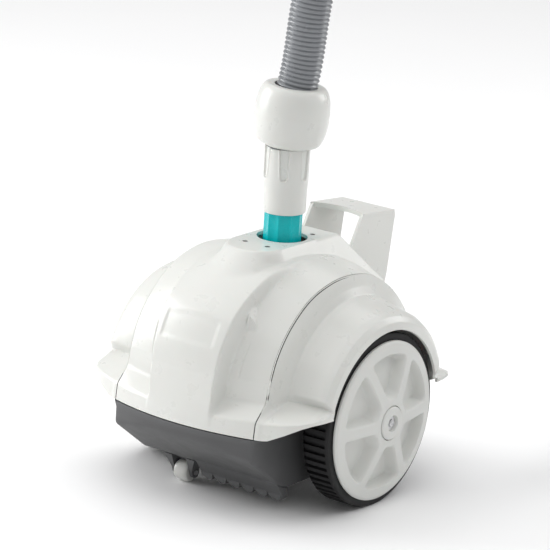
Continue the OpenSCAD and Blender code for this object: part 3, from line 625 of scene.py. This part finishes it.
def make_fender(name, side, node, materials):
    columns = fender_columns()
    levels = spaced((0, 0.8, 0.2), (0.8, 1.2, 0.04), (1.2, 2, 0.1))[:-1]
    arch_steps = 120
    rows = []
    for level in levels:
        rows.append([(side * x, *skirt_point(c, 1, level)) for c, x in columns])
    for i in range(arch_steps + 1):
        rows.append([(side * x, *arch_point(c, i / arch_steps)) for c, x in columns])
    for level in reversed(levels):
        rows.append([(side * x, *skirt_point(c, -1, level)) for c, x in columns])
    fender = shell_grid(name, rows)
    face_up(fender)
    apply_modifiers(fender)
    fender.data.set_sharp_from_angle(angle=math.radians(45))
    bevel(fender, 0.5, 2, 70)
    finish_piece(fender, materials["shell"], "chassis", "shell", node)


def seam_point(s):
    """Point of the joint line: rounded at the outer edges of the ledges and sharp in their inner corners."""
    return follow(SEAM_PROFILE, s, 0.16 if min(s, LAST_STATION - s) < 1.5 else 0)


def make_seam_shadow_strips(materials):
    """Dark strips that close the joints between the cover and the fenders: painted shadow in the gaps."""
    points, faces = [], []
    thickness, overlap = 1.5, 0.5
    stations = np.arange(0.1, LAST_STATION - 0.1, 0.08)
    for side in (-1, 1):
        rows = []
        for s in stations:
            sunk = 0.8 if 1.6 < min(s, LAST_STATION - s) < 3.2 else 0.2
            here = seam_point(s)
            along = seam_point(s + 0.02) - seam_point(s - 0.02)
            inwards = np.array([along[1], -along[0]]) / np.linalg.norm(along)
            half = SEAM_GAP / 2 + overlap
            section = ((-SEAM_GAP / 2, sunk), (SEAM_GAP / 2, sunk), (half, sunk + thickness),
                       (-half, sunk + thickness))
            rows.append([(side * SEAM_X + x, *(here + depth * inwards)) for x, depth in section])
        strip_points, strip_faces = grid(rows, wrap_cols=True)
        faces += [tuple(len(points) + k for k in face) for face in strip_faces]
        points += strip_points
    strips = add_mesh("seam_shadow_strips", points, faces)
    # Painted shadow: the dark seal rubber colours the joints where there is only shade.
    finish_piece(strips, materials["seal"], "chassis", "seal")


# ---------- handle ----------

HANDLE_X = 36
HANDLE_LEG = 3.5


def make_handle(materials):
    leg = rounded([(69, 227), (99, 282), (104, 286), (163, 281), (165.5, 276), (156, 205), (149, 181),
                   (133, 166), (114, 200), (98, 214)], [2, 4, 3, 3, 3, 5, 5, 3, 8, 8], 4)
    parts = []
    for side in (-1, 1):
        low, high = sorted((side * (HANDLE_X - HANDLE_LEG), side * HANDLE_X))
        parts.append(add_mesh("handle_leg", *extruded(leg, "x", low, high)))
    front = [(x, 101 + 16 * (1 - (x / HANDLE_X) ** 2)) for x in np.linspace(-HANDLE_X, HANDLE_X, 25)]
    plate_outline = front + [(HANDLE_X, 164), (-HANDLE_X, 164)]
    top = []
    for drop in (0, 5.5):
        top += [(x, y, 286 - 5 * (y - 104) / 59 - drop) for x, y in plate_outline]
    n = len(plate_outline)
    faces = [tuple(range(n)), tuple(range(2 * n - 1, n - 1, -1))]
    faces += [(i, (i + 1) % n, n + (i + 1) % n, n + i) for i in range(n)]
    plate = add_mesh("handle_plate", top, faces)
    back_web = rounded([(140, 170), (152, 190), (157, 213), (152, 214), (146, 192), (132, 172)], 1.5, 3)
    web = add_mesh("handle_web", *extruded(back_web, "x", -HANDLE_X + 1, HANDLE_X - 1))
    handle = parts[0]
    combine(handle, [parts[1], plate, web], "UNION")
    handle.name = "carry_handle"
    handle.data.shade_smooth()
    handle.data.set_sharp_from_angle(angle=math.radians(35))
    bevel(handle, 0.9, 3, 35)
    finish_piece(handle, materials["shell"], "chassis", "shell", "rear_handle")


# ---------- lower chassis ----------

# Front half of the chassis in side view, from the rim to the flat bottom, as (Y, Z)
CHASSIS_FRONT = [(-178, 97), (-173, 84), (-161, 72), (-106, 32), (-93, CHASSIS_Z), (-20, CHASSIS_Z)]
EDGE_MIDDLE = 175.0
EDGE_BOW = 15.0
END_R = 3.0
MOUTH = ((-46, 46), (-88, -36))
MOUTH_TOP = 20
# Pillars for the axle bushes and posts for the fender screws stand between these X
PILLAR_X = (80.5, 92)
PILLAR_HALF_Y = 18
PILLAR_TOP = 116
POST_Y = (132, 148)
POST_Z = (65, 115)
RIB_X = 32
RIB_HALF = 2
RIB_Y = (-122, -112)
RIB_Z = (48, 70)
BUSH_BORE_R = 9.05


def edge_y(x):
    """How far the body reaches along Y at a given X."""
    return EDGE_MIDDLE - EDGE_BOW * (x / SEAM_X) ** 2


def chassis_solid(name, half_w, inset, rim_z):
    """Closed tray form with rounded ends: a side profile, cut off by the bowed outline of the body."""
    front = rounded(CHASSIS_FRONT, [0, 5, 16, 24, 12, 0], 6, closed=False)
    profile = [(y, z) for y, z in front] + [(-y, z) for y, z in reversed(front)]
    rows = []
    straight = half_w - END_R
    for x in spaced((-half_w, -straight, 0.4), (-straight, straight, 5), (straight, half_w, 0.4)):
        shrink = inset + END_R - math.sqrt(END_R**2 - max(0.0, abs(x) - straight) ** 2)
        row = []
        for y, z in profile:
            reach = smooth_min(abs(y), edge_y(x), 3.0) - shrink
            row.append((x, math.copysign(reach, y), z + shrink if z < SPLIT_Z - 1 else rim_z))
        rows.append(row)
    points, faces = grid(rows, wrap_cols=True)
    count = len(profile)
    faces += [tuple(range(count)), tuple(range(len(points) - count, len(points)))]
    return add_mesh(name, points, faces, sharp=30)


def box_object(x, y, z):
    outline = [(x[0], y[0]), (x[1], y[0]), (x[1], y[1]), (x[0], y[1])]
    return add_mesh("block", *extruded(outline, "z", z[0], z[1]))


def make_chassis(materials):
    """Dark tray with its bush pillars, fender posts and weight ribs."""
    tray = chassis_solid("chassis_tray", SEAM_X, 0, SPLIT_Z - 0.2)
    hollow = chassis_solid("hollow", SEAM_X - WALL, WALL, SPLIT_Z + 5)
    combine(tray, [hollow, box_object(*MOUTH, (CHASSIS_Z - 5, CHASSIS_Z + MOUTH_TOP))], "DIFFERENCE")
    blocks = []
    for side in (-1, 1):
        pillar = sorted((side * PILLAR_X[0], side * PILLAR_X[1]))
        pillar_y = (AXLE_Y - PILLAR_HALF_Y, AXLE_Y + PILLAR_HALF_Y)
        blocks.append(box_object(pillar, pillar_y, (CHASSIS_Z + 1, PILLAR_TOP)))
        blocks.append(box_object((side * RIB_X - RIB_HALF, side * RIB_X + RIB_HALF), RIB_Y, RIB_Z))
        for end in (-1, 1):
            blocks.append(box_object(pillar, sorted((end * POST_Y[0], end * POST_Y[1])), POST_Z))
    combine(tray, blocks, "UNION")
    reach = SEAM_X + 9
    bore = lathe([(0, -reach), (BUSH_BORE_R, -reach), (BUSH_BORE_R, reach), (0, reach)],
                 "x", (AXLE_Y, AXLE_Z), 64)
    combine(tray, [add_mesh("bore", *bore)], "DIFFERENCE")
    tray.data.shade_smooth()
    tray.data.set_sharp_from_angle(angle=math.radians(32))
    finish_piece(tray, materials["chassis"], "chassis", "chassis", "lower_chassis")


# ---------- chassis front: comb, roller and struts ----------

ROLLER = np.array([-46, -90, 12.0])
ROLLER_HALF = 9
COMB_X = -8
COMB_PITCH = 18.5
COMB_COUNT = 6


def make_comb(materials):
    """A beard under the front edge that ends in a row of raked teeth."""
    tooth = rounded([(-10, 22), (5.6, 22), (6.4, 17), (4.6, 13.6), (1.2, 12.8), (-9, 16.2)],
                    [0, 0, 0.6, 0.6, 0.6, 0.6], 3)
    beard = rounded([(-90, 28), (-94, 28), (-106, 32.4), (-112, 36.8), (-104, 27), (-98.8, 19.5),
                     (-98, 16.5), (-91, 16.5)], [0, 0, 0, 0, 8, 2, 1, 1], 4)
    points, faces = extruded(beard, "x", COMB_X - 10, COMB_X + (COMB_COUNT - 1) * COMB_PITCH + 8)
    for i in range(COMB_COUNT):
        slab, slab_faces = extruded([(COMB_X + i * COMB_PITCH + x, z) for x, z in tooth], "z", -99.4, -90.5)
        start = len(points)
        points += [(x, depth, z) for x, z, depth in slab]
        faces += [tuple(start + k for k in face) for face in slab_faces]
    comb = add_mesh("intake_teeth", points, faces)
    bevel(comb, 0.3, 2, 40)
    finish_piece(comb, materials["chassis"], "chassis", "chassis", "intake_comb")


def make_roller(materials):
    low, high = ROLLER[0] - ROLLER_HALF, ROLLER[0] + ROLLER_HALF
    profile = rounded([(3.1, low), (10.8, low), (12, low + 4), (12, high - 4), (10.8, high), (3.1, high)],
                      [0.4, 2.5, 3, 3, 2.5, 0.4], 5)
    roller = add_mesh("guide_roller", *lathe(profile, "x", ROLLER[1:], 64))
    finish_piece(roller, materials["wheel"], "front_roller", "wheel", "front_roller")


# ---------- wheels ----------

POCKET_COUNT = 6
SPOKE_HALF_W = 6.0
POCKET_IN = 27.0
POCKET_OUT = 75.5
POCKET_DEPTH = 13.0
POCKET_DRAFT = 6.5
TREAD_COUNT = 64
HUB_R = 18.6
HUB_SEAT = 158.0
RIM_X = 150.6
RIM_R = DISC_R - 1.2


def pocket_depth(r, angle):
    """Depth of the dished pockets between the spokes, which have sloping walls and a flat floor."""
    pitch = 2 * math.pi / POCKET_COUNT
    local = abs((angle + pitch / 2) % pitch - pitch / 2)
    from_spoke = r * math.sin(pitch / 2 - local) - SPOKE_HALF_W
    soft = 6.0
    inside = smooth_min(from_spoke, smooth_min(r - POCKET_IN, POCKET_OUT - r, soft), soft)
    return POCKET_DEPTH * ramp(inside / POCKET_DRAFT + 0.08)


def make_wheel(side, node, materials):
    """Dished disc with six pockets, a plain rim and a drum behind it that carries the tyre."""
    face_x = wheel_high[0]
    first = HUB_R + 0.9
    rings = spaced((first, 30, 1.8), (30, 78, 1.2), (78, RIM_R - 1.5, 2.2))
    steps = 384
    turn = math.radians(30)

    def face_point(r, angle):
        fall = (face_x - RIM_X - 0.6) * ((r - first) / (RIM_R - first)) ** 1.6
        return face_x - fall - pocket_depth(r, angle - turn)

    drum = rounded([(RIM_R, RIM_X), (RIM_R, TYRE_OUT + 0.4), (86, TYRE_OUT + 0.4), (86, 114), (82, 114),
                    (82, 139), (14, 139), (14, 100), (5.1, 100), (5.1, HUB_SEAT), (first, HUB_SEAT)],
                   [1, 0.5, 1, 1, 1, 3, 3, 1, 0, 0, 0], 3)
    rows = []
    for k in range(steps):
        angle = 2 * math.pi * k / steps
        row = [(side * face_point(r, angle), AXLE_Y + r * math.cos(angle), AXLE_Z + r * math.sin(angle))
               for r in rings]
        row += [(side * x, AXLE_Y + r * math.cos(angle), AXLE_Z + r * math.sin(angle)) for r, x in drum]
        rows.append(row)
    wheel = add_mesh(node + "_disc", *grid(rows, wrap_rows=True, wrap_cols=True), sharp=50)
    finish_piece(wheel, materials["wheel"], "drive_axle", "wheel", node)


def make_tyre(side, node, materials):
    """Rubber band with cross bars and a plain outer shoulder."""
    width = TYRE_OUT - TYRE_IN
    section = rounded([(86.1, 0), (93, 0), (96, 1.5), (WHEEL_R, 4), (WHEEL_R, width * 0.33),
                       (WHEEL_R, width * 0.66), (WHEEL_R, width - 5), (WHEEL_R, width - 2.5),
                       (96.4, width - 0.5), (94, width), (86.1, width)],
                      [1, 1, 1, 1, 0, 0, 0.8, 0.8, 0.5, 1, 1], 3)

    def tread(r, h, angle):
        bar = (angle * TREAD_COUNT / (2 * math.pi)) % 1
        raised = ramp((0.5 - abs(bar - 0.5) - 0.16) / 0.08)
        band = ramp((width - 4.2 - h) / 0.8)
        cut = (1 - raised) * band * ramp((r - 93.5) / 2)
        return r - 3.2 * cut, side * (TYRE_IN + h)

    band = lathe(section, "x", (AXLE_Y, AXLE_Z), TREAD_COUNT * 12, tread)
    tyre = add_mesh(node + "_tread", *band, sharp=45)
    finish_piece(tyre, materials["tyre"], "drive_axle", "tyre", node)


def make_hub_parts(materials):
    """Hub caps with a recess, and the screw that sits in it."""
    cap = rounded([(2.7, HUB_SEAT + 0.1), (HUB_R, HUB_SEAT + 0.1), (HUB_R, HUB_FACE - 1.8),
                   (17.2, HUB_FACE - 0.6), (9.2, HUB_FACE), (8.2, HUB_FACE - 3.6), (2.7, HUB_FACE - 3.6)],
                  [0, 0, 0.8, 1.5, 0.6, 0.5, 0], 4)
    screw = rounded([(0, 142), (2.4, 142), (2.4, 160.2), (7.4, 160.2), (7.4, 161.0), (4.6, 161.0),
                     (4.3, 162.6), (3.0, 163.2), (1.6, 162.2), (0, 162.0)],
                    [0, 0.3, 0, 0.3, 0.4, 0.2, 0.5, 0.4, 0.4, 0], 4)
    for name, profile, material, slot, node in (
            ("hub_ring", cap, "wheel", "wheel", "hub_caps"),
            ("axle_screw", screw, "steel", "steel", "hub_screws")):
        points, faces = lathe(profile, "x", (AXLE_Y, AXLE_Z), 96)
        count = len(points)
        points = points + mirrored(points)
        faces = faces + [tuple(count + k for k in reversed(face)) for face in faces]
        made = add_mesh(name, points, faces)
        finish_piece(made, materials[material], "drive_axle", slot, node)


# ---------- outlet, connector and float ----------

def make_outlet_tube(materials):
    """Teal tube with shallow flutes between sharp ridges."""
    low, high = node_box("swivel_tube")
    flutes = 10
    flute_depth = 2.6
    phase = math.radians(4.6)
    profile = rounded([(18.2, low[2]), (26, low[2]), (26, low[2] + 4), (21.2, low[2] + 4.4),
                       (21.2, low[2] + 9), (21.2, 300), (21.2, high[2]), (18.2, high[2])],
                      [0.3, 0.6, 0.6, 0.4, 0, 0, 0.5, 0.3], 3)

    def fluted(r, h, angle):
        t = ((angle - phase) * flutes / (2 * math.pi)) % 1
        hollow = flute_depth * (1 - (2 * t - 1) ** 2)
        share = ramp((h - 246) / 3) * ramp((301 - h) / 1)
        return (r - hollow * share if r > 20 else r), h

    tube = add_mesh("fluted_outlet_tube", *lathe(profile, "z", (0, 0), flutes * 20, fluted), sharp=25)
    finish_piece(tube, materials["teal"], "swivel", "teal", "swivel_tube")


def make_connector(materials):
    """Hose socket with six tapered recesses in its upper half."""
    low, high = node_box("hose_connector")
    outer = [(24.0 + 0.8 * ramp((z - 322) / 14), z) for z in np.arange(low[2] + 2, high[2] - 1, 1.0)]
    mouth_r = HOSE_OD / 2 + 0.3
    top = high[2] + 2
    inner = [(24.8, top), (mouth_r, top), (mouth_r, 341), (18.3, 341), (18.3, 333), (21.4, 333)]
    profile = [(21.4, low[2]), (23.4, low[2]), (23.9, low[2] + 0.6)] + outer + rounded(inner, 0.4, 3)

    def slotted(r, h, angle):
        if r < 23.5:
            return r, h
        pitch = math.pi / 3
        local = abs((angle + pitch / 2) % pitch - pitch / 2) * r
        half = 4.0 + 1.9 * np.clip((h - 339) / 38, 0, 1)
        if h < 343:
            outside = math.hypot(local, h - 343) - half
        else:
            outside = local - half
        recess = 1.7 * ramp(-outside / 0.6)
        lip = 0.5 * math.exp(-((outside - 0.9) / 0.7) ** 2) * ramp((h - 335) / 4)
        return r - recess + lip, h

    socket = add_mesh("slotted_hose_connector", *lathe(profile, "z", (0, 0), 288, slotted), sharp=40)
    finish_piece(socket, materials["shell"], "swivel", "shell", "hose_connector")


# Shares of the route where the float starts and where it points
FLOAT_START = 0.0272
FLOAT_AIM = 0.056


def make_float(materials):
    """Barrel float in two halves with a fine joint, leaning with the hose."""
    route = np.array(HOSE_ROUTE) / MM
    base = catmull(route, FLOAT_START * (len(route) - 1))
    lean = catmull(route, FLOAT_AIM * (len(route) - 1)) - base
    half, end_r, middle_r, bore = 32.5, 29.5, 41, HOSE_OD / 2 + 2
    arc = []
    for a in np.linspace(-90, 90, 37):
        c, s = math.cos(math.radians(a)), math.sin(math.radians(a))
        r = end_r + (middle_r - end_r) * c ** 0.85
        arc.append((r - 0.35 * math.exp(-(a / 1.5) ** 2), half * (1 + s)))
    neck = [(bore - 1, 2 * half - 0.5), (bore - 1, 2 * half - 6), (bore, 2 * half - 7)]
    profile = [(bore, -2), (27, -2)] + arc + neck
    points, faces = lathe(profile, "z", (0, 0), 128)
    turn = Vector((0, 0, 1)).rotation_difference(Vector(lean))
    points = [turn @ Vector(p) + Vector(base) for p in points]
    barrel = add_mesh("barrel_float", points, faces, sharp=50)
    return finish_piece(barrel, materials["shell"], "swivel", "shell", "hose_float")


# ---------- hose ----------

def hose_centreline(step):
    """Points of the route, about step millimetres apart."""
    route = np.array(HOSE_ROUTE) / MM
    fine = np.array([catmull(route, s) for s in np.linspace(0, len(route) - 1, 2400)])
    travelled = np.concatenate([[0], np.cumsum(np.linalg.norm(np.diff(fine, axis=0), axis=1))])
    count = int(travelled[-1] / step)
    at = np.linspace(0, travelled[-1], count + 1)
    return np.array([np.interp(at, travelled, fine[:, k]) for k in range(3)]).T, at


def sweep(centres, radii, sides):
    """Grid rows of a tube, with frames that don't twist."""
    tangent = np.gradient(centres, axis=0)
    tangent /= np.linalg.norm(tangent, axis=1)[:, None]
    side = np.array([0, 1.0, 0])
    rows = []
    for centre, t, r in zip(centres, tangent, radii):
        side = side - t * side.dot(t)
        side /= np.linalg.norm(side)
        other = np.cross(t, side)
        rows.append([centre + r * (math.cos(a) * side + math.sin(a) * other)
                     for a in np.linspace(0, 2 * math.pi, sides, endpoint=False)])
    return rows


def make_hose(materials):
    """Corrugated hose with smooth ends and a plain bore."""
    pitch = 5.1
    per_ring = 6
    centres, at = hose_centreline(pitch / per_ring)
    total = at[-1]
    rib = 0.5 - 0.5 * np.cos(2 * math.pi * at / pitch)
    plain = np.maximum(ramp((62 - at) / 6), ramp((at - total + 32) / 6))
    outer = HOSE_OD / 2 - 0.1 - 2.1 * (1 - rib ** 0.6) * (1 - plain)
    rows = sweep(centres, outer, 40)
    inner = sweep(centres[::per_ring], np.full(len(centres[::per_ring]), HOSE_BORE / 2 + 0.2), 40)
    hose = add_mesh("corrugated_hose", *grid(rows + inner[::-1], wrap_rows=True, wrap_cols=True), sharp=60)
    finish_piece(hose, materials["hose"], "swivel", "hose", "hose")
    return hose, centres * MM, total * MM


def make_cuff(materials):
    """Ribbed rubber cuff at the end of the hose."""
    route = np.array(HOSE_ROUTE) / MM
    tip = route[-1]
    lean = Vector(route[-1] - route[-2])
    lean.z = 0
    ribs = []
    for i in range(5):
        z = -24 + i * 4.5
        ribs += [(24.2, z), (24.9, z + 1.1), (24.9, z + 2.0), (24.2, z + 3.1)]
    mouth_r = HOSE_OD / 2 + 0.3
    socket = [(24, 2), (24, 34), (24.9, 36), (24.9, 42), (HOSE_BORE / 2, 42), (HOSE_BORE / 2, 0), (mouth_r, 0)]
    profile = rounded([(mouth_r, -28), (24.9, -28)] + ribs + socket, 0.5, 3)
    points, faces = lathe(profile, "z", (0, 0), 96)
    turn = Vector((0, 0, 1)).rotation_difference(lean)
    cuff = add_mesh("ribbed_cuff", [turn @ Vector(p) + Vector(tip) for p in points], faces, sharp=40)
    return finish_piece(cuff, materials["cuff"], "swivel", "cuff", "hose_cuff")


# ---------- pieces kept from the frame ----------

KEPT = {
    "intake_throat": ("chassis", 0.6), "roller_bracket": ("chassis", 0.8),
    "roller_pin": ("steel", 0.3), "cover_screws": ("dark steel", 0.25), "fender_screws": ("steel", 0.25),
    "turbine_housing_lower": ("chassis", 0.6), "turbine_housing_upper": ("chassis", 0.6),
    "housing_screws": ("steel", 0.25), "outlet_duct": ("chassis", 0.6), "turbine_rotor": ("nylon", 0.3),
    "turbine_shaft": ("steel", 0.15), "gearbox_case": ("nylon", 0.5), "gearbox_cover": ("nylon", 0.5),
    "gearbox_screws": ("steel", 0.25), "layshaft_gear": ("nylon", 0.15), "layshaft_pin": ("steel", 0.3),
    "axle_gear": ("nylon", 0.15), "drive_axle": ("steel", 0.4), "axle_bushes": ("nylon", 0.3),
    "ballast_weight": ("weight", 1.5), "buoyancy_foam": ("foam", 2.0), "swivel_collar": ("shell", 0.4),
    "swivel_seal": ("seal", 0.4), "connector_seal": ("seal", 0.4),
}


def dress_kept_nodes(materials):
    for node, (material, width) in KEPT.items():
        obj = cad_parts[node]
        obj.data.materials.clear()
        obj.data.materials.append(materials[material])
        bevel(obj, width, 2, 40)


# ---------- stage ----------

def area_light(name, place, target, size, power):
    data = bpy.data.lights.new(name, "AREA")
    data.shape = "SQUARE"
    data.size = size
    data.energy = power
    light = bpy.data.objects.new(name, data)
    light.location = place
    light.rotation_euler = (Vector(target) - Vector(place)).to_track_quat("-Z", "Y").to_euler()
    bpy.context.scene.collection.objects.link(light)


def make_stage():
    half = 9000
    floor = add_mesh("floor", [(-half, -half, 0), (half, -half, 0), (half, half, 0), (-half, half, 0)],
                     [(0, 1, 2, 3)])
    s = Shader("pale_floor", Roughness=0.6)
    tone = s.mix(s.noise(400, 2), (0.93, 0.93, 0.935, 1), (0.95, 0.95, 0.95, 1))
    s.link(tone, s.surface.inputs["Base Color"])
    floor.data.materials.append(s.material)
    world = bpy.data.worlds.new("studio")
    world.use_nodes = True
    world.node_tree.nodes["Background"].inputs["Color"].default_value = (1, 1, 1, 1)
    world.node_tree.nodes["Background"].inputs["Strength"].default_value = 0.44
    bpy.context.scene.world = world
    area_light("ceiling", (0, 0.3, 4.5), (0, 0.3, 0), 9, 250)
    area_light("left", (-2.1, -0.9, 1.0), (0, 0, 0.2), 1.5, 38)
    area_light("right", (1.3, 2.1, 1.2), (0, 0, 0.3), 1.2, 15)
    bpy.context.scene.view_settings.view_transform = "Standard"


# ---------- the whole scene ----------

add_camera()
materials = make_materials()
hose, hose_path, hose_length = make_hose(materials)
cuff = make_cuff(materials)
barrel = make_float(materials)
make_cover(materials)
make_fender("right_fender_shell", 1, "right_fender", materials)
make_fender("left_fender_shell", -1, "left_fender", materials)
make_seam_shadow_strips(materials)
make_handle(materials)
make_chassis(materials)
make_comb(materials)
make_roller(materials)
for side, name in ((1, "right"), (-1, "left")):
    make_wheel(side, name + "_wheel", materials)
    make_tyre(side, name + "_tyre", materials)
make_hub_parts(materials)
make_outlet_tube(materials)
make_connector(materials)
dress_kept_nodes(materials)
make_stage()
